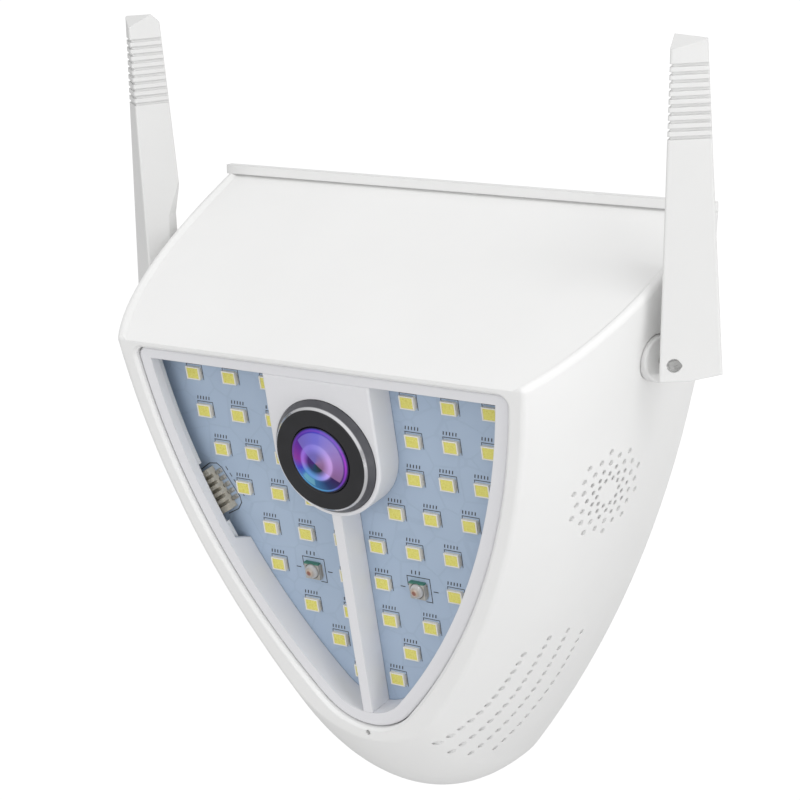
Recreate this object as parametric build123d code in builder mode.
from build123d import *
import os
from math import atan2, cos, degrees, hypot, radians, sin, sqrt

# Floodlight security camera for a wall: a shield-shaped housing with a light panel and a lens in
# its front and a folding antenna on each side.
# Frame: +Z up, +Y into the wall, the front faces -Y and +X is on the right of a person facing it.
# Origin: middle of the four wall screws, on the wall plane Y = 0.  Millimetres and degrees.

# ---------------------------------------------------------------- driving dimensions
FACE_TILT = 10.0            # the light panel leans back at its foot, so that it shines downwards
FRONT_Y, FRONT_Z = -48.8, 36.2   # a point of the plane that the front features are set out from
BOARD_SINK = 0.8            # the LED board's front surface lies this much behind it

# Shield outlines: half width at the top, top, bottom, radius of the sides, radius of the tip
RIM = (50.2, -2.7, -88.0, 153.8, 23.0)
WINDOW = (42.7, -7.2, -82.0, 130.5, 11.8)
BACK = (61.6, 59.0, -69.9, 231.0, 20.5)

RIM_OUT = 7.2               # how far each front feature stands out from the LED board
BEZEL_OUT = 6.2
POD_OUT = 6.5
POD_ROUND = 0.5
BEZEL_PLATE = 2.2
BEZEL_RIM = 3.0             # width of the bezel ring round the window
BEZEL_CORNER = 2.0
BEZEL_GAP = 0.2
BEZEL_TOP = 2.2
BEZEL_ROUND = 0.6
BRIM_BEVEL = 0.6
SKIRT_WALL = 1.4
SKIRT_TOP = -49.0           # above this height the skirt is left out, for the board's header
SKIRT_SLOPE = 0.38          # its top end rises by this much per millimetre towards the front

BACK_EDGE_Y = -1.0
BULGE = 3.3                 # exponent of the swell from the rim to the back edge
WALL = 2.8
SECTIONS = (0.0, 0.2, 0.55, 1.0)   # where the housing's cross-sections are taken

LIP_HEIGHT, LIP_DEPTH = 1.0, 1.9   # ridge across the back of the top
TOP_SINK = 0.7              # the top lies this much below the bead along each of its sides
BEAD_WIDTH, BEAD_SLOPE = 1.5, 1.0

BOARD_THICKNESS = 1.6
LED_PITCH = 8.36
LED_TOP_ROW = -12.2
# Distances of the LEDs from the middle line, row by row
LED_ROWS = [(37.0, 27.4, 17.5), (35.7, 26.6, 17.5), (32.8, 24.5, 16.6), (28.6, 19.3, 10.6),
            (23.0, 13.7, 4.5), (22.5, 4.5), (15.2, 5.0), (9.2,), (4.6,)]
LOW_ROWS = (-69.4, -76.2)   # the two lowest rows sit closer together
IR_X, IR_ROW = 13.4, 5
LED_LENGTH, LED_WIDTH, LED_HEIGHT = 3.5, 2.8, 0.7

LENS_Y = -23.5
POD_RADIUS = 13.2
RIB_WIDTH = 2.4
TRIM_RADIUS, TRIM_BORE = 12.2, 7.15
TRIM_FLOOR = 4.5            # seat of the trim ring in the pod
# Outside of the trim ring in front of the pod: radius and distance from the LED board
TRIM_PROFILE = [(12.2, 6.7), (11.4, 7.7), (10.8, 8.4), (10.6, 8.5)]
BARREL_RADIUS, GLASS_RADIUS = 7.25, 7.05
GLASS_BACK, GLASS_APEX, GLASS_DOME = 4.6, 10.1, 15.9
BARREL_BACK = -10.6
BOARD_SCREWS = [(-10.2, -10.4), (10.2, -10.4), (0, -42.0), (0, -74.0)]
HEADER_SPOT, HEADER_TURN = (-35.8, -38.7), radians(-59)
HEADER_PITCH, HEADER_PINS = 1.6, 5
IR_PACKAGE, IR_DOME = 3.7, 1.65

TOP_EDGE_ROUND = 1.2
RIM_EDGE = 1.2
LEDGE_FRONT = 3.6
MIC_Y = -86.3
REAR_SCREWS = [(-52.5, 42), (52.5, 42), (-36.5, -10), (36.5, -10), (0, -58.5)]
PILLAR_RADIUS, PILLAR_FRONT, PILLAR_BACK = 3.6, -21.0, -7.3
SCREW_RADIUS = 1.15

GRILLE_CENTRE = (-28.85, 6.6)  # Y and Z
GRILLE_RINGS, GRILLE_HOLES, GRILLE_INNER, GRILLE_STEP = 6, 10, 2.94, 1.19
OPEN_RINGS = 3              # only the inner rings go through the wall; the others are dimples
GRILLE_HOLE, GRILLE_DIMPLE = 0.46, 0.55
# Rows of dimples below the grille: Y of the row, Z of its top dimple, number of dimples
DIMPLE_ROWS = [(-18.1, -27.6, 15), (-24.4, -25.3, 16), (-29.7, -25.5, 15), (-34.4, -28.1, 12)]
ROW_DIMPLE, DIMPLE_DEPTH = 0.56, 0.6

HINGE = (66.55, -23.94, 32.7)  # where the right antenna's swivel and fold axes cross
SPLAY = radians(14.0)        # the swivel axis points this much forwards of +X
SHAFT_RADIUS = 3.0
SEAT_OUT = 1.5              # the swivel seats are measured from this point of the swivel axis
FLANGE_RADIUS = 4.6

SPEAKER_SPOT = (47.4, -26.2, 7.1)
SPEAKER_NORMAL = (0.92, -0.19, -0.33)
SPEAKER_RADIUS = 11.5
COVER_FRONT, COVER_BACK = -7.0, -4.5
COVER_INSET, COVER_TOP = 3.6, 6.4
BOARD_FRONT = -12.6         # Y of the front surface of the main and power boards
MAIN_HOLES = [(-34, 0), (34, 0), (-34, 41), (34, 41)]
POWER_HOLES = [(-24, -17.5), (24, -17.5), (-11, -46.5), (11, -46.5)]
# Chips and connectors on the main board: X, Z, width, height, thickness
CHIPS = [(2, 28, 14, 14, 1.4), (18, 30, 9, 12, 1.1), (0, 12, 6, 8, 1.0), (-12, 14, 5, 5, 1.0),
         (12, 12, 4, 4, 2.2), (19, 14, 4, 4, 2.2), (-31, 8, 5, 9, 2.0), (-19, 43.7, 15, 2, 3.0)]
RESET = (24, 38)
GLAND_Z, GLAND_BORE = -33.0, 3.5
STUD_X = 12.0
BRACKET_HEIGHT = 40.0
SCREW_SPACING, SCREW_HOLE = (60, 26), 2.25
COAX_RADIUS = 0.6

BLADE_FOOT, BLADE_TIP, BLADE_REACH = -3.1, 59.9, 64.0
# Corners of the antenna's three-sided section: front ridge, outer back and inner back corner
BLADE_BASE = ((-2.0, -4.8), (6.5, 4.7), (-7.8, 4.7))
BLADE_END = ((0.6, -3.5), (4.7, 3.1), (-4.1, 3.1))
BLADE_ROUND = 0.4
GROOVES, GROOVE_PITCH, GROOVE_TOP = 10, 1.5, 56.7
GROOVE_WIDTH, GROOVE_DEPTH = 0.6, 0.35
TONGUE_FRONT, TONGUE_BACK = 1.0, 3.6   # along the fold axis, so that the wide face stays whole
TONGUE_RADIUS, TONGUE_GAP = 2.1, 0.3
FOOT_RADIUS = 5.4           # the blade's foot turns about the fold axis inside this radius
FOOT_CORNER = sqrt(FOOT_RADIUS ** 2 - BLADE_FOOT ** 2)
# The blade's inner side, cut back so that it clears the bulge of the housing as it swivels: X and Z
BLADE_RELIEF = [(-5.4, 5.6), (-4.4, 13), (-4.4, 19), (-6.1, 27.5), (-9, 27.5)]
PIN_RADIUS = 1.0
PIN_WELL = 1.35
AERIAL_SPOT = (-0.3, 1.2)


def lerp(a, b, t):
    return a + (b - a) * t


def grown(outline, sides, top):
    """The same shield with its sides and tip moved out by `sides` and its top by `top`."""
    half_width, crown, bottom, side_radius, tip_radius = outline
    (cx, cy), _ = side_arc(outline)
    new_radius = side_radius + sides
    new_crown = crown + top
    reach = cx + sqrt(new_radius ** 2 - (new_crown - cy) ** 2)
    return reach, new_crown, bottom - sides, new_radius, tip_radius + sides


def side_arc(outline):
    """Centre of the right side's arc, and the point where it runs into the tip's arc."""
    half_width, crown, bottom, side_radius, tip_radius = outline
    px, py, qx, qy = half_width, crown, 0.0, bottom + tip_radius
    span = hypot(px - qx, py - qy)
    along = (side_radius ** 2 - (side_radius - tip_radius) ** 2 + span ** 2) / (2 * span)
    across = sqrt(side_radius ** 2 - along ** 2)
    ex, ey = (qx - px) / span, (qy - py) / span
    centre = (px + along * ex + across * ey, py + along * ey - across * ex)
    reach = side_radius / (side_radius - tip_radius)
    return centre, (centre[0] + (qx - centre[0]) * reach, centre[1] + (qy - centre[1]) * reach)


def shield(plane, outline):
    """A shield-shaped face on the plane: straight top, two long side arcs and a round tip."""
    half_width, crown, bottom, side_radius, _ = outline
    (cx, cy), (tx, ty) = side_arc(outline)
    middle = radians(degrees(atan2(crown - cy, half_width - cx) + atan2(ty - cy, tx - cx)) / 2)
    mx, my = cx + side_radius * cos(middle), cy + side_radius * sin(middle)
    with BuildSketch(plane) as profile:
        with BuildLine():
            Line((-half_width, crown), (half_width, crown))
            ThreePointArc((half_width, crown), (mx, my), (tx, ty))
            ThreePointArc((tx, ty), (0, bottom), (-tx, ty))
            ThreePointArc((-tx, ty), (-mx, my), (-half_width, crown))
        make_face()
    return profile.sketch


def tilted(y, z, lean):
    """A plane across the object that leans back at its foot by `lean` and faces the front."""
    return Plane(origin=(0, y, z), x_dir=(1, 0, 0), z_dir=(0, -cos(lean), -sin(lean)))


FRONT = tilted(FRONT_Y, FRONT_Z, radians(FACE_TILT))
FACE = FRONT.offset(-BOARD_SINK)
FORWARDS = Axis((0, 0, 0), tuple(FACE.z_dir))
# the housing's front corner points in its middle plane
FRONT_TOP = FRONT.from_local_coords((0, RIM[1], RIM_OUT - BOARD_SINK))
FRONT_FOOT = FRONT.from_local_coords((0, RIM[2], RIM_OUT - BOARD_SINK))


def body_frame(t):
    """Plane and outline of the housing, from t = 0 at the front rim to t = 1 at the back edge."""
    swell = 1 - (1 - t) ** BULGE
    top_y, top_z = lerp(FRONT_TOP.Y, BACK_EDGE_Y, t), lerp(FRONT_TOP.Z, BACK[1], t)
    foot_y, foot_z = lerp(FRONT_FOOT.Y, BACK_EDGE_Y, t), lerp(FRONT_FOOT.Z, BACK[2], swell)
    height = hypot(top_y - foot_y, top_z - foot_z)
    outline = (lerp(RIM[0], BACK[0], swell), 0.0, -height,
               lerp(RIM[3], BACK[3], t), lerp(RIM[4], BACK[4], t))
    return tilted(top_y, top_z, atan2(foot_y - top_y, top_z - foot_z)), outline


def body_section(t, inset=0.0, drop=0.0):
    """Cross-section of the housing, its sides moved in by `inset` and its top down by `drop`."""
    plane, outline = body_frame(t)
    return shield(plane, grown(outline, -inset, -drop))


def top_section(t):
    """Cross-section of the space between the beads of the housing's top."""
    plane, outline = body_frame(t)
    foot = outline[0] - BEAD_WIDTH - BEAD_SLOPE
    rise = 4.0
    head = foot + BEAD_SLOPE / TOP_SINK * (rise + TOP_SINK)
    with BuildSketch(plane) as section:
        with BuildLine():
            Polyline((-foot, -TOP_SINK), (foot, -TOP_SINK), (head, rise), (-head, rise), close=True)
        make_face()
    return section.sketch


def upright(y, outline):
    """A shield-shaped face in the vertical plane at depth y, drawn in X and Z."""
    return shield(tilted(y, 0, 0), outline)


def bezel_outline(out, gap=0.0):
    """The bezel's outline, `out` in front of the LED board, with its top corners rounded."""
    with BuildSketch(FACE.offset(out)) as section:
        add(shield(Plane.XY, grown(WINDOW, BEZEL_RIM + gap, BEZEL_TOP + gap)))
        fillet(section.vertices().group_by(Axis.Y)[-1], BEZEL_CORNER)
    return section.sketch


def grille(rings, radius):
    """Round spots on the rings of the speaker grille, each ring turned by half a step."""
    with BuildSketch(Plane(origin=(40, 0, 0), x_dir=(0, 1, 0), z_dir=(1, 0, 0))) as spots:
        for ring in rings:
            reach = GRILLE_INNER + ring * GRILLE_STEP
            for spot in range(GRILLE_HOLES):
                turn = radians(360 / GRILLE_HOLES * (spot + ring / 2) + 6)
                across, up = reach * cos(turn), reach * sin(turn)
                with Locations((GRILLE_CENTRE[0] + (across - 0.11 * up) / 0.89, GRILLE_CENTRE[1] + up)):
                    Circle(radius)
    return spots.sketch


def lens_plane(out):
    """Plane across the optical axis, `out` in front of the LED board."""
    origin = FACE.from_local_coords((0, LENS_Y, out))
    return Plane(origin=origin, x_dir=(1, 0, 0), z_dir=FACE.z_dir)


def tube_path(*points, bend):
    """Straight runs through the points, joined by tangent arcs of radius `bend`."""
    return FilletPolyline(*points, radius=bend)


def blade_section(z, inset=0.0, back=0.0):
    """The antenna's section at height z, its two front faces moved in and its back face out."""
    t = (z - BLADE_FOOT) / (BLADE_TIP - BLADE_FOOT)
    ridge, outer, inner = [(lerp(a[0], b[0], t), lerp(a[1], b[1], t))
                           for a, b in zip(BLADE_BASE, BLADE_END)]
    outer_slope = (outer[0] - ridge[0]) / (outer[1] - ridge[1])
    inner_slope = (inner[0] - ridge[0]) / (inner[1] - ridge[1])
    # sideways shift that moves each front face in by `inset`
    outer_shift = inset * hypot(1, outer_slope)
    inner_shift = inset * hypot(1, inner_slope)
    drop = (outer_shift + inner_shift) / (outer_slope - inner_slope)
    tip = (ridge[0] + outer_slope * drop - outer_shift, ridge[1] + drop)
    back_v = outer[1] + back
    outer_u = tip[0] + outer_slope * (back_v - tip[1])
    inner_u = tip[0] + inner_slope * (back_v - tip[1])
    with BuildSketch(HINGE_PLANE.offset(z)) as section:
        with BuildLine():
            Polyline(tip, (outer_u, back_v), (inner_u, back_v), close=True)
        make_face()
    return section.sketch


def plane_through(a, b, c):
    """Plane through three points of the hinge's frame, with its normal pointing up."""
    a, b, c = [Vector(HINGE_PLANE.from_local_coords(p)) for p in (a, b, c)]
    normal = (b - a).cross(c - a)
    return Plane(origin=a, x_dir=b - a, z_dir=normal if normal.Z > 0 else -normal)


U_DIR = Vector(cos(SPLAY), -sin(SPLAY), 0)
V_DIR = Vector(sin(SPLAY), cos(SPLAY), 0)
HINGE_PLANE = Plane(origin=HINGE, x_dir=U_DIR, z_dir=(0, 0, 1))
FOLD_PLANE = Plane(origin=HINGE, x_dir=U_DIR, z_dir=-V_DIR)   # local y is up
SWIVEL = Plane(origin=Vector(HINGE) + SEAT_OUT * U_DIR, x_dir=V_DIR, z_dir=U_DIR)
SWIVEL_LEFT = Plane(origin=(-SWIVEL.origin.X, SWIVEL.origin.Y, SWIVEL.origin.Z),
                    x_dir=(V_DIR.X, -V_DIR.Y, 0), z_dir=(-U_DIR.X, U_DIR.Y, 0))
SPEAKER = Plane(origin=SPEAKER_SPOT, x_dir=(0.19, 0.92, 0), z_dir=SPEAKER_NORMAL)
TIP_FRONT = plane_through((0.6, -3.5, 59.9), (4.7, 3.1, 61.75), (-1.8, 1.3, 62.3))
TIP_BACK = plane_through((-1.8, 1.3, 62.3), (4.7, 3.1, 61.75), (-4.1, 3.1, 60.1))
# plane of the blade's wide face where the fold pin comes out of it
PIN_FACE = Plane(origin=HINGE_PLANE.from_local_coords((0, -2.57, 0)), z_dir=0.745 * U_DIR - 0.667 * V_DIR)


HEADER = Plane(origin=FACE.from_local_coords((HEADER_SPOT[0], HEADER_SPOT[1], 0)), z_dir=FACE.z_dir,
               x_dir=FACE.from_local_coords((cos(HEADER_TURN), sin(HEADER_TURN), 0)) - FACE.origin)

COVER = grown(BACK, -COVER_INSET, -COVER_TOP)

os.makedirs("parts", exist_ok=True)

# ---------------------------------------------------------------- housing
with BuildPart() as body_blank:
    loft([body_section(t) for t in SECTIONS])
    fillet(body_blank.faces().sort_by(Axis.Y)[0].edges(), RIM_EDGE)
    long_edges = body_blank.edges().filter_by(lambda e: abs(e.center().X) > 50 and e.length > 55)
    fillet(long_edges.group_by(Axis.Z)[-1], TOP_EDGE_ROUND)
    # the top is sunk between a bead along each side
    loft([top_section(t) for t in (-0.03, *SECTIONS[1:])], mode=Mode.SUBTRACT)

with BuildPart() as cavity:
    loft([body_section(t, WALL, WALL) for t in (0.13, 0.35, 0.65, 1.0)])
    split(bisect_by=FACE.offset(0.4), keep=Keep.BOTTOM)

# Everything that belongs to the housing but stands inside its cavity
with BuildPart() as bosses:
    for x, z in REAR_SCREWS:
        with BuildSketch(Plane(origin=(x, PILLAR_FRONT, z), x_dir=(1, 0, 0), z_dir=(0, 1, 0))):
            Circle(PILLAR_RADIUS)
            # web that ties the pillar to the wall beside it
            with Locations((4 * (x > 0) - 4 * (x < 0), 0 if x else 5)):
                Rectangle(8 if x else 3, 3 if x else 10)
        extrude(amount=PILLAR_BACK - PILLAR_FRONT)
    for side in (SWIVEL, SWIVEL_LEFT):
        with BuildSketch(side.offset(-13.2)):
            Circle(6.2)
        extrude(amount=6)
    with BuildSketch(SPEAKER.offset(-7.5)):
        Circle(SPEAKER_RADIUS + 1.6)
        Circle(SPEAKER_RADIUS + 0.3, mode=Mode.SUBTRACT)
    extrude(amount=10.2)

# Shallow round dimples in the right wall: the grille's outer rings, and rows that follow the keel
with BuildPart() as dimples:
    extrude(grille(range(OPEN_RINGS, GRILLE_RINGS), GRILLE_DIMPLE), amount=20)
    with BuildSketch(Plane(origin=(6, 0, 0), x_dir=(0, 1, 0), z_dir=(1, 0, 0))):
        for y, z_top, count in DIMPLE_ROWS:
            for k in range(count):
                z = z_top - 2.08 * k + 0.0098 * k * k
                with Locations((y - 0.011 * max(0, -33 - z) ** 2, z)):
                    Circle(ROW_DIMPLE)
    extrude(amount=50)
    loft([body_section(t, DIMPLE_DEPTH, DIMPLE_DEPTH) for t in SECTIONS], mode=Mode.SUBTRACT)

with BuildPart() as housing:
    add(body_blank.part)
    with Locations((0, BACK_EDGE_Y - LIP_DEPTH / 2, BACK[1])):
        Box(2 * BACK[0] - 0.1, LIP_DEPTH, 2 * LIP_HEIGHT)
    add(cavity.part, mode=Mode.SUBTRACT)
    add(bosses.part & body_blank.part)
    # front: recess for the bezel, ledge behind it and pocket for the LED board
    extrude(bezel_outline(LEDGE_FRONT, BEZEL_GAP), amount=8, mode=Mode.SUBTRACT)
    extrude(bezel_outline(RIM_OUT - BRIM_BEVEL, BEZEL_GAP), amount=3, taper=-45, mode=Mode.SUBTRACT)
    extrude(shield(FACE.offset(-4), grown(WINDOW, 1.6, 1.6)), amount=8, mode=Mode.SUBTRACT)
    extrude(shield(FACE.offset(-6), grown(WINDOW, 4.6, 2.0)), amount=7.6, mode=Mode.SUBTRACT)
    # room for the board's header under the ledge
    with BuildSketch(HEADER.offset(-4)):
        Rectangle(13.2, 5.8)
    extrude(amount=6.9, mode=Mode.SUBTRACT)
    # microphone hole in the lower tip of the rim
    with BuildSketch(FACE.offset(-1)):
        with Locations((0, MIC_Y)):
            Circle(0.55)
    extrude(amount=12, mode=Mode.SUBTRACT)
    # pilot holes for the rear screws
    with BuildSketch(Plane(origin=(0, PILLAR_BACK, 0), x_dir=(1, 0, 0), z_dir=(0, -1, 0))):
        with Locations(REAR_SCREWS):
            Circle(SCREW_RADIUS)
    extrude(amount=10.5, mode=Mode.SUBTRACT)
    # antenna seats on both sides
    for side in (SWIVEL, SWIVEL_LEFT):
        with BuildSketch(side.offset(-9.3)):
            Circle(FLANGE_RADIUS + 0.15)
        extrude(amount=8, mode=Mode.SUBTRACT)
        with BuildSketch(side.offset(-10.4)):
            Circle(4.3)
        extrude(amount=2, mode=Mode.SUBTRACT)
        with BuildSketch(side.offset(-14)):
            Circle(SHAFT_RADIUS + 0.06)
        extrude(amount=6, mode=Mode.SUBTRACT)
        with BuildSketch(side.offset(-18)):
            Circle(5.2)
        extrude(amount=4.8, mode=Mode.SUBTRACT)
    extrude(grille(range(OPEN_RINGS), GRILLE_HOLE), amount=20, mode=Mode.SUBTRACT)
    add(dimples.part, mode=Mode.SUBTRACT)
housing.part.label = "housing"
export_step(housing.part, "parts/housing.step")

# ---------------------------------------------------------------- front bezel with lens pod and rib
with BuildPart() as lens_pod:
    with BuildSketch(FACE.offset(0.1)):
        with Locations((0, LENS_Y)):
            Circle(POD_RADIUS)
        with Locations((0, (LENS_Y + WINDOW[1]) / 2)):
            Rectangle(2 * POD_RADIUS, WINDOW[1] - LENS_Y)
    extrude(amount=POD_OUT - 0.1)
    fillet(lens_pod.faces().sort_by(FORWARDS)[-1].edges(), POD_ROUND)

# Wall inside the ledge, round the lower half of the window
with BuildPart() as skirt:
    with BuildSketch(FACE.offset(0.1)):
        add(shield(Plane.XY, grown(WINDOW, SKIRT_WALL, 0)))
        add(shield(Plane.XY, WINDOW), mode=Mode.SUBTRACT)
    extrude(amount=BEZEL_OUT - 0.2)
    split(bisect_by=Plane(origin=FACE.from_local_coords((0, SKIRT_TOP, 0)), x_dir=(1, 0, 0),
                          z_dir=FACE.y_dir - SKIRT_SLOPE * FACE.z_dir), keep=Keep.BOTTOM)

with BuildPart() as front_bezel:
    extrude(bezel_outline(BEZEL_OUT - BEZEL_PLATE), amount=BEZEL_PLATE)
    fillet(front_bezel.faces().sort_by(FORWARDS)[-1].edges(), BEZEL_ROUND)
    extrude(shield(FACE.offset(-1), WINDOW), amount=8, mode=Mode.SUBTRACT)
    add(skirt.part)
    # top wall of the window, then the lens pod and the rib below it
    with BuildSketch(FACE.offset(0.1)):
        with Locations((0, WINDOW[1] + SKIRT_WALL / 2)):
            Rectangle(2 * WINDOW[0] - 6, SKIRT_WALL)
    extrude(amount=BEZEL_OUT - 0.2)
    add(lens_pod.part)
    with BuildSketch(FACE.offset(0.1)):
        with Locations((0, (LENS_Y - POD_RADIUS + WINDOW[2]) / 2)):
            Rectangle(RIB_WIDTH, LENS_Y - POD_RADIUS - WINDOW[2] + 1.4)
    extrude(amount=BEZEL_OUT - 0.2)
    with BuildSketch(lens_plane(-1)):
        Circle(BARREL_RADIUS + 0.45)
    extrude(amount=10, mode=Mode.SUBTRACT)
    with BuildSketch(lens_plane(TRIM_FLOOR)):
        Circle(TRIM_RADIUS + 0.1)
    extrude(amount=8, mode=Mode.SUBTRACT)
    # pilot holes for the board screws, from behind
    with BuildSketch(FACE.offset(0)):
        with Locations(BOARD_SCREWS):
            Circle(0.7)
    extrude(amount=3.0, mode=Mode.SUBTRACT)
front_bezel.part.label = "front_bezel"
export_step(front_bezel.part, "parts/front_bezel.step")

with BuildPart() as bezel_seal:
    extrude(bezel_outline(LEDGE_FRONT, -0.2), amount=0.4)
    extrude(shield(FACE.offset(LEDGE_FRONT - 1), grown(WINDOW, 1.75, 1.55)), amount=3, mode=Mode.SUBTRACT)
bezel_seal.part.label = "bezel_seal"
export_step(bezel_seal.part, "parts/bezel_seal.step")

# ---------------------------------------------------------------- lens
LENS_SIDE = Plane(origin=FACE.from_local_coords((0, LENS_Y, 0)), x_dir=(1, 0, 0), z_dir=-FACE.y_dir)

with BuildPart() as lens_trim_ring:
    with BuildSketch(LENS_SIDE):
        with BuildLine():
            Polyline((TRIM_BORE, TRIM_FLOOR + 0.05), (TRIM_RADIUS, TRIM_FLOOR + 0.05), *TRIM_PROFILE,
                     (TRIM_BORE + 0.2, TRIM_PROFILE[-1][1]), (TRIM_BORE, TRIM_PROFILE[-1][1] - 0.2), close=True)
        make_face()
    revolve(axis=Axis(tuple(LENS_SIDE.origin), tuple(FACE.z_dir)))
lens_trim_ring.part.label = "lens_trim_ring"
export_step(lens_trim_ring.part, "parts/lens_trim_ring.step")

with BuildPart() as lens_front_glass:
    with BuildSketch(lens_plane(GLASS_BACK)):
        Circle(GLASS_RADIUS)
    extrude(amount=6)
    with Locations(lens_plane(GLASS_APEX - GLASS_DOME)):
        Sphere(GLASS_DOME, mode=Mode.INTERSECT)
lens_front_glass.part.label = "lens_front_glass"
export_step(lens_front_glass.part, "parts/lens_front_glass.step")

with BuildPart() as lens_barrel:
    with BuildSketch(lens_plane(BARREL_BACK)):
        Circle(BARREL_RADIUS)
        Circle(4.2, mode=Mode.SUBTRACT)
    extrude(amount=GLASS_BACK - 0.1 - BARREL_BACK)
    # stepped cone of light baffles behind the front glass
    for depth, radius in ((-6.2, 5.2), (-1.4, 5.8), (1.4, 6.3)):
        with BuildSketch(lens_plane(depth)):
            Circle(radius)
        extrude(amount=12, mode=Mode.SUBTRACT)
lens_barrel.part.label = "lens_barrel"
export_step(lens_barrel.part, "parts/lens_barrel.step")

with BuildPart() as lens_rear_cells:
    for depth, radius, thick in ((-6.1, 5.1, 2.2), (-1.3, 5.7, 1.8)):
        with BuildSketch(lens_plane(depth)):
            Circle(radius)
        extrude(amount=thick)
lens_rear_cells.part.label = "lens_rear_cells"
export_step(lens_rear_cells.part, "parts/lens_rear_cells.step")

with BuildPart() as lens_mount:
    with BuildSketch(lens_plane(-17)):
        Rectangle(24, 18)
    extrude(amount=7.6)
    with BuildSketch(lens_plane(-11)):
        Rectangle(34, 7)
    extrude(amount=1.6)
    with BuildSketch(lens_plane(-9.5)):
        Circle(BARREL_RADIUS + 0.75)
    extrude(amount=2.7)
    with BuildSketch(lens_plane(-11.6)):
        Circle(BARREL_RADIUS + 0.06)
    extrude(amount=6, mode=Mode.SUBTRACT)
    with BuildSketch(lens_plane(-14)):
        Rectangle(22.4, 9.4)
    extrude(amount=2.6, mode=Mode.SUBTRACT)
    with BuildSketch(lens_plane(-18)):
        Rectangle(11, 11)
    extrude(amount=4.5, mode=Mode.SUBTRACT)
    with BuildSketch(lens_plane(-12)):
        with Locations((-14.5, 0), (14.5, 0)):
            Circle(1.15)
    extrude(amount=4, mode=Mode.SUBTRACT)
lens_mount.part.label = "lens_mount"
export_step(lens_mount.part, "parts/lens_mount.step")

with BuildPart() as ir_cut_slider:
    with BuildSketch(lens_plane(-13.4)):
        with Locations((-3.5, 0)):
            RectangleRounded(14.4, 8.8, 0.8)
        with Locations((0, 0), (-7, 0)):
            Circle(3.1, mode=Mode.SUBTRACT)
    extrude(amount=1.2)
    with BuildSketch(lens_plane(-12.9)):
        with Locations((0, 0), (-7, 0)):
            Circle(3.4)
    extrude(amount=1, mode=Mode.SUBTRACT)
ir_cut_slider.part.label = "ir_cut_slider"
export_step(ir_cut_slider.part, "parts/ir_cut_slider.step")

with BuildPart() as ir_cut_panes:
    with BuildSketch(lens_plane(-12.88)):
        with Locations((0, 0), (-7, 0)):
            Circle(3.34)
    extrude(amount=0.55)
ir_cut_panes.part.label = "ir_cut_panes"
export_step(ir_cut_panes.part, "parts/ir_cut_panes.step")

with BuildPart() as filter_actuator:
    with BuildSketch(lens_plane(-16.5)):
        with Locations((0, -12.2)):
            RectangleRounded(12, 6, 1)
    extrude(amount=5)
filter_actuator.part.label = "filter_actuator"
export_step(filter_actuator.part, "parts/filter_actuator.step")

with BuildPart() as image_sensor:
    with BuildSketch(lens_plane(-18)):
        Rectangle(8.4, 8.4)
    extrude(amount=1.1)
image_sensor.part.label = "image_sensor"
export_step(image_sensor.part, "parts/image_sensor.step")

with BuildPart() as sensor_board:
    with BuildSketch(lens_plane(-19.3)):
        RectangleRounded(26, 24, 1.5)
        with GridLocations(21, 19, 2, 2):
            Circle(1.0, mode=Mode.SUBTRACT)
    extrude(amount=1.2)
sensor_board.part.label = "sensor_board"
export_step(sensor_board.part, "parts/sensor_board.step")

# ---------------------------------------------------------------- LED board
LED_SPOTS = []
for row, halves in enumerate(LED_ROWS):
    row_y = LED_TOP_ROW - row * LED_PITCH if row < 7 else LOW_ROWS[row - 7]
    LED_SPOTS += [(side * half, row_y) for half in halves for side in (-1, 1)]
IR_SPOTS = [(side * IR_X, LED_TOP_ROW - IR_ROW * LED_PITCH) for side in (-1, 1)]

with BuildPart() as led_board:
    with BuildSketch(FACE.offset(-BOARD_THICKNESS)):
        add(shield(Plane.XY, grown(WINDOW, 4.2, 1.6)))
        with Locations((0, MIC_Y + 2.2 - 20)):
            Rectangle(60, 40, mode=Mode.SUBTRACT)
        with Locations((0, LENS_Y)):
            Circle(BARREL_RADIUS + 0.45, mode=Mode.SUBTRACT)
        with Locations(BOARD_SCREWS):
            Circle(1.15, mode=Mode.SUBTRACT)
    extrude(amount=BOARD_THICKNESS)
    with BuildSketch(HEADER.offset(-3)):
        with GridLocations(HEADER_PITCH, 0, HEADER_PINS, 1):
            Rectangle(0.8, 0.8)
    extrude(amount=4, mode=Mode.SUBTRACT)
led_board.part.label = "led_board"
export_step(led_board.part, "parts/led_board.step")

with BuildPart() as led_packages:
    with BuildSketch(FACE.offset(0.02)):
        with Locations(LED_SPOTS):
            Rectangle(LED_LENGTH, LED_WIDTH)
    extrude(amount=LED_HEIGHT)
    with BuildSketch(FACE.offset(0.42)):
        with Locations(LED_SPOTS):
            Rectangle(2.9, 2.3)
    extrude(amount=1, mode=Mode.SUBTRACT)
led_packages.part.label = "led_packages"
export_step(led_packages.part, "parts/led_packages.step")

with BuildPart() as led_phosphors:
    with BuildSketch(FACE.offset(0.43)):
        with Locations(LED_SPOTS):
            Rectangle(2.86, 2.26)
    extrude(amount=0.25)
led_phosphors.part.label = "led_phosphors"
export_step(led_phosphors.part, "parts/led_phosphors.step")

with BuildPart() as ir_leds:
    with BuildSketch(FACE.offset(0.02)):
        with Locations(IR_SPOTS):
            Rectangle(IR_PACKAGE, IR_PACKAGE)
    extrude(amount=0.9)
    with BuildSketch(FACE.offset(0.5)):
        with Locations(IR_SPOTS):
            Circle(IR_DOME + 0.05)
    extrude(amount=1, mode=Mode.SUBTRACT)
ir_leds.part.label = "ir_leds"
export_step(ir_leds.part, "parts/ir_leds.step")

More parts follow.
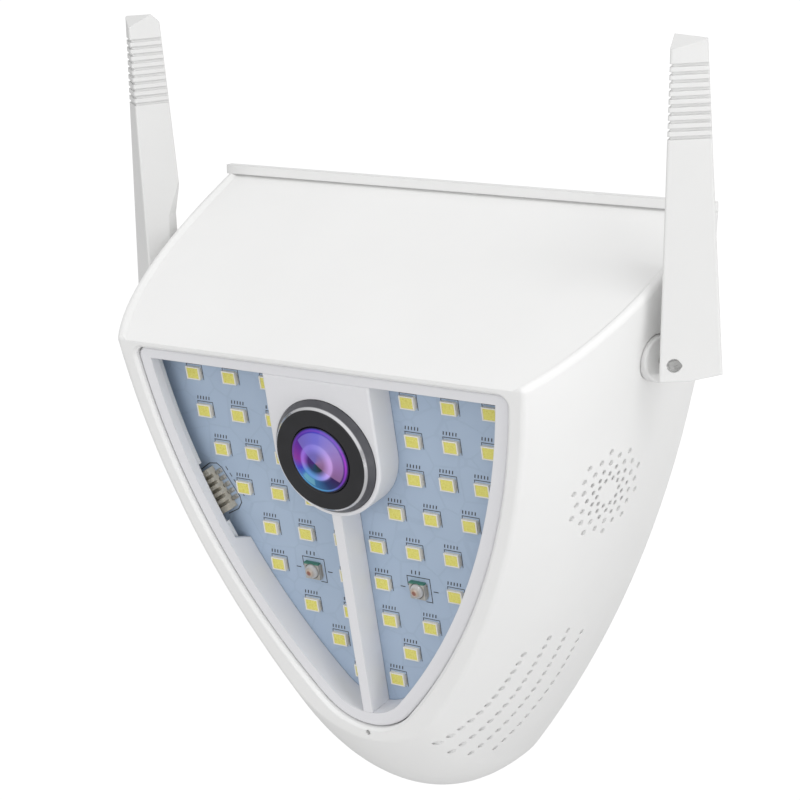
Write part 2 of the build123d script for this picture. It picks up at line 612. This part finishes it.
with BuildPart() as ir_domes:
    for x, y in IR_SPOTS:
        with Locations(Plane(origin=FACE.from_local_coords((x, y, 0.52)), z_dir=FACE.z_dir)):
            Sphere(IR_DOME, arc_size1=0, align=None)
ir_domes.part.label = "ir_domes"
export_step(ir_domes.part, "parts/ir_domes.step")

with BuildPart() as board_header:
    with BuildSketch(HEADER.offset(0.05)):
        Rectangle(9.8, 3.9)
    extrude(amount=2.2)
    # a channel across the top over each pin
    with BuildSketch(HEADER.offset(1.3)):
        with GridLocations(HEADER_PITCH, 0, HEADER_PINS, 1):
            Rectangle(0.75, 4)
    extrude(amount=1, mode=Mode.SUBTRACT)
    with BuildSketch(HEADER):
        with GridLocations(HEADER_PITCH, 0, HEADER_PINS, 1):
            Rectangle(0.64, 0.64)
            with Locations((0, 1.5)):
                Rectangle(0.64, 3)
    extrude(amount=0.5, mode=Mode.SUBTRACT)
board_header.part.label = "board_header"
export_step(board_header.part, "parts/board_header.step")

with BuildPart() as header_pins:
    with BuildSketch(HEADER.offset(-4.8)):
        with GridLocations(HEADER_PITCH, 0, HEADER_PINS, 1):
            Rectangle(0.6, 0.6)
    extrude(amount=5.2)
    # tails that lie on the board beside the header
    with BuildSketch(HEADER.offset(0.06)):
        with GridLocations(HEADER_PITCH, 0, HEADER_PINS, 1):
            with Locations((0, 1.6)):
                Rectangle(0.6, 3.6)
    extrude(amount=0.34)
header_pins.part.label = "header_pins"
export_step(header_pins.part, "parts/header_pins.step")

with BuildPart() as heat_sink:
    with BuildSketch(FACE.offset(-4.7)):
        add(shield(Plane.XY, grown(WINDOW, -1.5, -1.0)))
        with Locations((0, -92)):
            Rectangle(60, 34, mode=Mode.SUBTRACT)
        with Locations((0, LENS_Y)):
            Circle(BARREL_RADIUS + 1.0, mode=Mode.SUBTRACT)
        with Locations(BOARD_SCREWS):
            Circle(1.15, mode=Mode.SUBTRACT)
    extrude(amount=3.0)
    with BuildSketch(FACE.offset(-8.8)):
        with GridLocations(6, 0, 11, 1):
            Rectangle(1.4, 200)
        add(shield(Plane.XY, grown(WINDOW, -4.5, -4.0)), mode=Mode.INTERSECT)
        with Locations((0, -92)):
            Rectangle(60, 38, mode=Mode.SUBTRACT)
        with Locations((0, LENS_Y)):
            Rectangle(38, 28, mode=Mode.SUBTRACT)
        with Locations(BOARD_SCREWS):
            Circle(2.6, mode=Mode.SUBTRACT)
    extrude(amount=4.5)
    # notch for the lamp plug
    with BuildSketch(HEADER.offset(-10)):
        Rectangle(13.4, 6)
    extrude(amount=9, mode=Mode.SUBTRACT)
    # raised pads that carry the lens mount
    with BuildSketch(lens_plane(-9.3)):
        with Locations((-14.5, 0), (14.5, 0)):
            Rectangle(5, 7)
            Circle(0.8, mode=Mode.SUBTRACT)
    extrude(amount=5)
heat_sink.part.label = "heat_sink"
export_step(heat_sink.part, "parts/heat_sink.step")

with BuildPart() as board_screws:
    with BuildSketch(FACE.offset(-6.2)):
        with Locations(BOARD_SCREWS):
            Circle(1.9)
            RegularPolygon(0.8, 6, mode=Mode.SUBTRACT)
    extrude(amount=1.4)
    with BuildSketch(FACE.offset(-5.2)):
        with Locations(BOARD_SCREWS):
            Circle(0.68)
    extrude(amount=8.0)
board_screws.part.label = "board_screws"
export_step(board_screws.part, "parts/board_screws.step")

with BuildPart() as mount_screws:
    with BuildSketch(lens_plane(-12.4)):
        with Locations((-14.5, 0), (14.5, 0)):
            Circle(1.9)
            RegularPolygon(0.8, 6, mode=Mode.SUBTRACT)
    extrude(amount=1.3)
    with BuildSketch(lens_plane(-11.4)):
        with Locations((-14.5, 0), (14.5, 0)):
            Circle(0.8)
    extrude(amount=6.0)
mount_screws.part.label = "mount_screws"
export_step(mount_screws.part, "parts/mount_screws.step")

# ---------------------------------------------------------------- speaker and microphone
with BuildPart() as speaker_frame:
    with BuildSketch(SPEAKER.offset(-6.5)):
        Circle(SPEAKER_RADIUS)
    extrude(amount=5.6)
    with BuildSketch(SPEAKER.offset(-8.6)):
        Circle(6)
    extrude(amount=3)
    with BuildSketch(SPEAKER.offset(-3.4)):
        Circle(SPEAKER_RADIUS - 1.4)
    extrude(amount=4, mode=Mode.SUBTRACT)
speaker_frame.part.label = "speaker_frame"
export_step(speaker_frame.part, "parts/speaker_frame.step")

with BuildPart() as speaker_cone:
    with BuildSketch(Plane(origin=SPEAKER.origin, x_dir=SPEAKER.x_dir, z_dir=-SPEAKER.y_dir)):
        with BuildLine():
            Polyline((0, -2.6), (4, -2.6), (8, -1.7), (9.9, -1.7), (9.9, -2.2), (8.2, -2.2), (4, -3.1),
                     (0, -3.1), close=True)
        make_face()
    revolve(axis=Axis(tuple(SPEAKER.origin), tuple(SPEAKER.z_dir)))
speaker_cone.part.label = "speaker_cone"
export_step(speaker_cone.part, "parts/speaker_cone.step")

with BuildPart() as speaker_gasket:
    with BuildSketch(SPEAKER.offset(-0.85)):
        Circle(SPEAKER_RADIUS)
        Circle(SPEAKER_RADIUS - 1.4, mode=Mode.SUBTRACT)
    extrude(amount=0.5)
speaker_gasket.part.label = "speaker_gasket"
export_step(speaker_gasket.part, "parts/speaker_gasket.step")

with BuildPart() as microphone:
    with BuildSketch(FACE.offset(-2.6)):
        with Locations((0, MIC_Y)):
            Circle(2.0)
    extrude(amount=2.4)
    with BuildSketch(FACE.offset(-0.9)):
        with Locations((0, MIC_Y)):
            Circle(0.5)
    extrude(amount=1.2, mode=Mode.SUBTRACT)
microphone.part.label = "microphone"
export_step(microphone.part, "parts/microphone.step")

# ---------------------------------------------------------------- lamp plug and leads
with BuildPart() as lamp_plug:
    with BuildSketch(HEADER.offset(-6.5)):
        Rectangle(12, 4.6)
    extrude(amount=4.7)
    with BuildSketch(HEADER.offset(-5.0)):
        with GridLocations(HEADER_PITCH, 0, HEADER_PINS, 1):
            Rectangle(0.8, 0.8)
    extrude(amount=4, mode=Mode.SUBTRACT)
lamp_plug.part.label = "lamp_plug"
export_step(lamp_plug.part, "parts/lamp_plug.step")

LEAD_START = HEADER.from_local_coords((0, 0, -6.55))
with BuildPart() as lamp_lead:
    with BuildLine() as lead_route:
        tube_path(LEAD_START, LEAD_START - 9 * HEADER.z_dir, (-31, -22, 7),
                  (-31, BOARD_FRONT - 2.2, 8), bend=6)
    with BuildSketch(Plane(origin=lead_route.line @ 0, z_dir=lead_route.line % 0)):
        Circle(1.1)
    sweep()
lamp_lead.part.label = "lamp_lead"
export_step(lamp_lead.part, "parts/lamp_lead.step")

with BuildPart() as coax_right:
    with BuildLine() as right_route:
        tube_path((49.6, -20.3, 32.7), (43, -18.9, 35.5), (29, -17.6, 42), (8, -17.2, 43),
                  (-13, -17.2, 40.2), (-13.5, -13.5, 40.2), bend=[9, 9, 9, 3])
    with BuildSketch(Plane(origin=right_route.line @ 0, z_dir=right_route.line % 0)):
        Circle(COAX_RADIUS)
    sweep()
with BuildPart() as coax_left:
    with BuildLine() as left_route:
        tube_path((-49.6, -20.3, 32.7), (-43, -18.9, 35.5), (-34, -17.4, 40), (-27, -17.2, 40.2),
                  (-26.5, -13.5, 40.2), bend=[8, 8, 3])
    with BuildSketch(Plane(origin=left_route.line @ 0, z_dir=left_route.line % 0)):
        Circle(COAX_RADIUS)
    sweep()
coax_right.part.label = "coax_right"
export_step(coax_right.part, "parts/coax_right.step")
coax_left.part.label = "coax_left"
export_step(coax_left.part, "parts/coax_left.step")

# ---------------------------------------------------------------- electronics at the back
BOARD_PLANE = tilted(BOARD_FRONT + BOARD_THICKNESS, 0, 0)   # back surface, facing the front

with BuildPart() as main_board:
    with BuildSketch(BOARD_PLANE):
        with Locations((0, 20.5)):
            RectangleRounded(76, 51, 2)
        with Locations(MAIN_HOLES):
            Circle(1.0, mode=Mode.SUBTRACT)
    extrude(amount=BOARD_THICKNESS)
main_board.part.label = "main_board"
export_step(main_board.part, "parts/main_board.step")

with BuildPart() as main_chips:
    for x, z, wide, high, thick in CHIPS:
        with BuildSketch(tilted(BOARD_FRONT - 0.02, 0, 0)):
            with Locations((x, z)):
                Rectangle(wide, high)
        extrude(amount=thick)
main_chips.part.label = "main_chips"
export_step(main_chips.part, "parts/main_chips.step")

with BuildPart() as radio_module:
    with BuildSketch(tilted(BOARD_FRONT - 0.02, 0, 0)):
        with Locations((-20, 34)):
            Rectangle(18, 15)
    extrude(amount=0.8)
radio_module.part.label = "radio_module"
export_step(radio_module.part, "parts/radio_module.step")

with BuildPart() as radio_shield:
    with BuildSketch(tilted(BOARD_FRONT - 0.84, 0, 0)):
        with Locations((-20, 32.5)):
            Rectangle(16, 11)
    extrude(amount=2.0)
    fillet(radio_shield.edges().filter_by(Axis.Y), 0.6)
    offset(amount=-0.3, openings=radio_shield.faces().sort_by(Axis.Y)[-1])
radio_shield.part.label = "radio_shield"
export_step(radio_shield.part, "parts/radio_shield.step")

with BuildPart() as reset_switch:
    with BuildSketch(Plane(origin=(RESET[0], -10.98, RESET[1]), x_dir=(1, 0, 0), z_dir=(0, 1, 0))):
        Rectangle(6, 6)
    extrude(amount=1.4)
reset_switch.part.label = "reset_switch"
export_step(reset_switch.part, "parts/reset_switch.step")

with BuildPart() as reset_button:
    with BuildSketch(Plane(origin=(RESET[0], -9.0, RESET[1]), x_dir=(1, 0, 0), z_dir=(0, 1, 0))):
        Circle(2.0)
    extrude(amount=5.0)
    with BuildSketch(Plane(origin=(RESET[0], -8.4, RESET[1]), x_dir=(1, 0, 0), z_dir=(0, 1, 0))):
        Circle(3.0)
    extrude(amount=1.0)
    fillet(reset_button.faces().sort_by(Axis.Y)[-1].edges(), 0.4)
reset_button.part.label = "reset_button"
export_step(reset_button.part, "parts/reset_button.step")

with BuildPart() as power_board:
    with BuildSketch(BOARD_PLANE):
        with BuildLine():
            Polyline((-30, -14), (30, -14), (15, -50), (-15, -50), close=True)
        make_face()
        with Locations((0, GLAND_Z)):
            Circle(8.2, mode=Mode.SUBTRACT)
        with Locations(POWER_HOLES):
            Circle(1.0, mode=Mode.SUBTRACT)
    extrude(amount=BOARD_THICKNESS)
power_board.part.label = "power_board"
export_step(power_board.part, "parts/power_board.step")

with BuildPart() as transformer:
    with BuildSketch(tilted(BOARD_FRONT - 0.05, 0, 0)):
        with Locations((-15, -26)):
            Rectangle(13, 12)
    extrude(amount=2)
    with BuildSketch(tilted(BOARD_FRONT - 1, 0, 0)):
        with Locations((-15, -26)):
            Rectangle(10, 8)
    extrude(amount=9)
    with BuildSketch(tilted(BOARD_FRONT - 8.5, 0, 0)):
        with Locations((-15, -26)):
            Rectangle(13, 12)
    extrude(amount=2)
transformer.part.label = "transformer"
export_step(transformer.part, "parts/transformer.step")

with BuildPart() as capacitors:
    with BuildSketch(tilted(BOARD_FRONT - 0.05, 0, 0)):
        with Locations((15, -20.5), (14.6, -30.5)):
            Circle(4)
    extrude(amount=10)
    fillet(capacitors.faces().group_by(Axis.Y)[0].edges(), 0.5)
capacitors.part.label = "capacitors"
export_step(capacitors.part, "parts/capacitors.step")

with BuildPart() as terminal_block:
    with BuildSketch(tilted(BOARD_FRONT - 0.05, 0, 0)):
        with Locations((0, -46)):
            Rectangle(15, 6.4)
    extrude(amount=8)
    with BuildSketch(tilted(BOARD_FRONT - 3.5, 0, 0)):
        with GridLocations(5, 0, 3, 1):
            with Locations((0, -46)):
                Circle(1.5)
    extrude(amount=6, mode=Mode.SUBTRACT)
terminal_block.part.label = "terminal_block"
export_step(terminal_block.part, "parts/terminal_block.step")

with BuildPart() as pcb_screws:
    with BuildSketch(tilted(BOARD_FRONT - 0.03, 0, 0)):
        with Locations(MAIN_HOLES + POWER_HOLES):
            Circle(1.9)
            RegularPolygon(0.8, 6, mode=Mode.SUBTRACT)
    extrude(amount=1.3)
    with BuildSketch(tilted(-7.4, 0, 0)):
        with Locations(MAIN_HOLES + POWER_HOLES):
            Circle(0.68)
    extrude(amount=5.8)
pcb_screws.part.label = "pcb_screws"
export_step(pcb_screws.part, "parts/pcb_screws.step")

# ---------------------------------------------------------------- rear cover and wall mounting
with BuildPart() as rear_cover:
    extrude(upright(COVER_BACK, COVER), amount=COVER_BACK - COVER_FRONT)
    with BuildSketch(tilted(COVER_FRONT + 0.5, 0, 0)):
        with Locations(MAIN_HOLES + POWER_HOLES):
            Circle(2.4)
    extrude(amount=-BOARD_FRONT - BOARD_THICKNESS + COVER_FRONT + 0.4)
    with BuildSketch(tilted(0, 0, 0)):
        with Locations(MAIN_HOLES + POWER_HOLES):
            Circle(0.72)
    extrude(amount=14, mode=Mode.SUBTRACT)
    with BuildSketch(tilted(-5.0, 0, 0)):
        add(shield(Plane.XY, grown(COVER, 1, 1)))
        add(shield(Plane.XY, grown(COVER, -1.3, -1.3)), mode=Mode.SUBTRACT)
    extrude(amount=1.5, mode=Mode.SUBTRACT)
    with BuildSketch(tilted(0, 0, 0)):
        with Locations(REAR_SCREWS):
            Circle(1.4)
        with Locations((0, GLAND_Z)):
            Circle(5.1)
        with Locations(RESET):
            Circle(2.06)
        with Locations((-STUD_X, 0), (STUD_X, 0)):
            Circle(1.25)
    extrude(amount=14, mode=Mode.SUBTRACT)
rear_cover.part.label = "rear_cover"
export_step(rear_cover.part, "parts/rear_cover.step")

with BuildPart() as rear_seal:
    with BuildSketch(tilted(-5.1, 0, 0)):
        add(shield(Plane.XY, grown(COVER, 0.15, 0.15)))
        add(shield(Plane.XY, grown(COVER, -1.2, -1.2)), mode=Mode.SUBTRACT)
    extrude(amount=1.3)
rear_seal.part.label = "rear_seal"
export_step(rear_seal.part, "parts/rear_seal.step")

with BuildPart() as rear_screws:
    with BuildSketch(tilted(-3.0, 0, 0)):
        with Locations(REAR_SCREWS):
            Circle(2.6)
            RegularPolygon(1.1, 6, mode=Mode.SUBTRACT)
    extrude(amount=1.45)
    with BuildSketch(tilted(-4.2, 0, 0)):
        with Locations(REAR_SCREWS):
            Circle(1.1)
    extrude(amount=10.5)
rear_screws.part.label = "rear_screws"
export_step(rear_screws.part, "parts/rear_screws.step")

with BuildPart() as cable_gland:
    with BuildSketch(tilted(-2.6, GLAND_Z, 0)):
        Circle(7)
    extrude(amount=1.85)
    fillet(cable_gland.faces().sort_by(Axis.Y)[-1].edges(), 0.6)
    with BuildSketch(tilted(-4.4, GLAND_Z, 0)):
        Circle(5.0)
    extrude(amount=5.6)
    with BuildSketch(tilted(0, GLAND_Z, 0)):
        Circle(GLAND_BORE)
    extrude(amount=14, mode=Mode.SUBTRACT)
cable_gland.part.label = "cable_gland"
export_step(cable_gland.part, "parts/cable_gland.step")

with BuildPart() as gland_nut:
    with BuildSketch(tilted(COVER_FRONT - 0.05, GLAND_Z, 0)):
        RegularPolygon(7.2, 6)
        Circle(5.05, mode=Mode.SUBTRACT)
    extrude(amount=2.4)
gland_nut.part.label = "gland_nut"
export_step(gland_nut.part, "parts/gland_nut.step")

with BuildPart() as hanger_studs:
    for y, radius, long in ((-0.7, 3.3, 1.2), (-1.8, 1.9, 1.9), (-3.55, 3.2, 0.9), (-4.4, 1.2, 2.4)):
        with BuildSketch(tilted(y, 0, 0)):
            with Locations((-STUD_X, 0), (STUD_X, 0)):
                Circle(radius)
        extrude(amount=long)
hanger_studs.part.label = "hanger_studs"
export_step(hanger_studs.part, "parts/hanger_studs.step")

with BuildPart() as wall_bracket:
    with BuildSketch(Plane(origin=(0, 0, -BRACKET_HEIGHT / 2), x_dir=(1, 0, 0), z_dir=(0, 0, 1))):
        with BuildLine():
            Polyline((36, 0), (36, -1.5), (22.6, -1.5), (20.9, -3.5), (-20.9, -3.5), (-22.6, -1.5),
                     (-36, -1.5), (-36, 0), (-21.8, 0), (-20.1, -2), (20.1, -2), (21.8, 0), close=True)
        make_face()
    extrude(amount=BRACKET_HEIGHT)
    fillet(wall_bracket.edges().filter_by(Axis.Y).filter_by(lambda e: abs(e.center().X) > 30), 3)
    with BuildSketch(tilted(1, 0, 0)):
        with GridLocations(SCREW_SPACING[0], SCREW_SPACING[1], 2, 2):
            Circle(SCREW_HOLE)
        with Locations((-STUD_X, 8), (STUD_X, 8)):
            Circle(3.7)
        with Locations((-STUD_X, 4), (STUD_X, 4)):
            SlotCenterToCenter(8, 4.2, rotation=90)
    extrude(amount=6, mode=Mode.SUBTRACT)
wall_bracket.part.label = "wall_bracket"
export_step(wall_bracket.part, "parts/wall_bracket.step")

with BuildPart() as wall_gasket:
    with BuildSketch(tilted(0, 0, 0)):
        add(shield(Plane.XY, grown(BACK, -1.0, -1.0)))
        add(shield(Plane.XY, grown(BACK, -2.5, -2.5)), mode=Mode.SUBTRACT)
    extrude(amount=-BACK_EDGE_Y - 0.02)
wall_gasket.part.label = "wall_gasket"
export_step(wall_gasket.part, "parts/wall_gasket.step")

# ---------------------------------------------------------------- folding antennas
# Drawn for the right-hand side in the hinge's own frame: x along the swivel axis, away from the
# housing, and y along the fold axis, towards the wall.  The left-hand ones are mirror images.
with BuildPart() as groove_core:
    loft([blade_section(z, GROOVE_DEPTH, 3) for z in (BLADE_FOOT, BLADE_REACH)], ruled=True)
    fillet(groove_core.edges().filter_by(lambda e: e.length > 30), BLADE_ROUND * 0.8)

with BuildPart() as grooves:
    for k in range(GROOVES):
        with BuildSketch(HINGE_PLANE.offset(GROOVE_TOP - k * GROOVE_PITCH)):
            Rectangle(40, 40)
        extrude(amount=GROOVE_WIDTH)
    add(groove_core.part, mode=Mode.SUBTRACT)

with BuildPart() as antenna_blade_right:
    loft([blade_section(z) for z in (BLADE_FOOT, BLADE_REACH)], ruled=True)
    fillet(antenna_blade_right.edges().filter_by(lambda e: e.length > 30), BLADE_ROUND)
    # the tip slopes up from its front corner, and its inner back corner is cut lower
    split(bisect_by=TIP_FRONT, keep=Keep.BOTTOM)
    split(bisect_by=TIP_BACK, keep=Keep.BOTTOM)
    # profile of the foot, with a corner rounded about the fold axis
    with BuildSketch(FOLD_PLANE):
        with BuildLine():
            Polyline((-FOOT_RADIUS, 0), *BLADE_RELIEF, (-9, 70), (9, 70), (9, -1.1),
                     (2.0, BLADE_FOOT), (-FOOT_CORNER, BLADE_FOOT))
            RadiusArc((-FOOT_CORNER, BLADE_FOOT), (-FOOT_RADIUS, 0), -FOOT_RADIUS)
        make_face()
    extrude(amount=10, both=True, mode=Mode.INTERSECT)
    add(grooves.part, mode=Mode.SUBTRACT)
    # slot for the tongue, open to the housing and downwards
    reach = TONGUE_RADIUS + TONGUE_GAP
    with BuildSketch(FOLD_PLANE.offset(-TONGUE_BACK - 0.1)):
        with Locations((-10, reach - 10)):
            Rectangle(20, 20)
        with Locations((0, -10)):
            Rectangle(2 * reach, 20)
        Circle(reach)
    extrude(amount=TONGUE_BACK - TONGUE_FRONT + 0.2, mode=Mode.SUBTRACT)
    with BuildSketch(FOLD_PLANE.offset(-4.1)):
        Circle(PIN_RADIUS + 0.02)
    extrude(amount=12, mode=Mode.SUBTRACT)
    # round well in the wide face for the pin's head
    with BuildSketch(PIN_FACE.offset(-0.9)):
        Circle(PIN_WELL)
    extrude(amount=4, mode=Mode.SUBTRACT)
    with BuildSketch(HINGE_PLANE):
        with Locations(AERIAL_SPOT):
            Circle(1.4)
    extrude(amount=42, mode=Mode.SUBTRACT)
antenna_blade_right.part.label = "antenna_blade_right"
export_step(antenna_blade_right.part, "parts/antenna_blade_right.step")

with BuildPart() as antenna_pin_right:
    with BuildSketch(FOLD_PLANE.offset(-4.0)):
        Circle(PIN_RADIUS)
    extrude(amount=9)
    split(bisect_by=PIN_FACE.offset(-0.45), keep=Keep.BOTTOM)
antenna_pin_right.part.label = "antenna_pin_right"
export_step(antenna_pin_right.part, "parts/antenna_pin_right.step")

with BuildPart() as antenna_aerial_right:
    with BuildSketch(HINGE_PLANE.offset(4)):
        with Locations(AERIAL_SPOT):
            Circle(1.2)
    extrude(amount=37.5)
antenna_aerial_right.part.label = "antenna_aerial_right"
export_step(antenna_aerial_right.part, "parts/antenna_aerial_right.step")

with BuildPart() as antenna_base_right:
    with BuildSketch(SWIVEL.offset(-9.1)):
        Circle(FLANGE_RADIUS)
    extrude(amount=2.1)
    fillet(antenna_base_right.faces().sort_by(Axis.X)[-1].edges(), 0.5)
    with BuildSketch(SWIVEL.offset(-17)):
        Circle(SHAFT_RADIUS)
    extrude(amount=8.2)
    with BuildSketch(FOLD_PLANE.offset(-TONGUE_BACK)):
        with Locations((-3.2, 0)):
            Rectangle(6.4, 2 * TONGUE_RADIUS)
        Circle(TONGUE_RADIUS)
    extrude(amount=TONGUE_BACK - TONGUE_FRONT)
    with BuildSketch(FOLD_PLANE):
        Circle(PIN_RADIUS + 0.06)
    extrude(amount=6, both=True, mode=Mode.SUBTRACT)
    with BuildSketch(SWIVEL.offset(-14.5)):
        Circle(SHAFT_RADIUS + 1)
        Circle(2.35, mode=Mode.SUBTRACT)
    extrude(amount=1.2, mode=Mode.SUBTRACT)
    with BuildSketch(SWIVEL.offset(-18)):
        Circle(1.0)
    extrude(amount=14, mode=Mode.SUBTRACT)
antenna_base_right.part.label = "antenna_base_right"
export_step(antenna_base_right.part, "parts/antenna_base_right.step")

with BuildPart() as antenna_clips:
    for side in (SWIVEL, SWIVEL_LEFT):
        with BuildSketch(side.offset(-14.4)):
            Circle(4.6)
            Circle(2.42, mode=Mode.SUBTRACT)
            with Locations((0, -4)):
                Rectangle(2.4, 6, mode=Mode.SUBTRACT)
        extrude(amount=1.0)
antenna_clips.part.label = "antenna_clips"
export_step(antenna_clips.part, "parts/antenna_clips.step")

with BuildPart() as antenna_seals:
    with Locations(SWIVEL.offset(-9.78), SWIVEL_LEFT.offset(-9.78)):
        Torus(3.62, 0.5)
antenna_seals.part.label = "antenna_seals"
export_step(antenna_seals.part, "parts/antenna_seals.step")

with BuildPart() as antenna_blade_left:
    mirror(antenna_blade_right.part, about=Plane.YZ)
antenna_blade_left.part.label = "antenna_blade_left"
export_step(antenna_blade_left.part, "parts/antenna_blade_left.step")

with BuildPart() as antenna_pin_left:
    mirror(antenna_pin_right.part, about=Plane.YZ)
antenna_pin_left.part.label = "antenna_pin_left"
export_step(antenna_pin_left.part, "parts/antenna_pin_left.step")

with BuildPart() as antenna_aerial_left:
    mirror(antenna_aerial_right.part, about=Plane.YZ)
antenna_aerial_left.part.label = "antenna_aerial_left"
export_step(antenna_aerial_left.part, "parts/antenna_aerial_left.step")

with BuildPart() as antenna_base_left:
    mirror(antenna_base_right.part, about=Plane.YZ)
antenna_base_left.part.label = "antenna_base_left"
export_step(antenna_base_left.part, "parts/antenna_base_left.step")
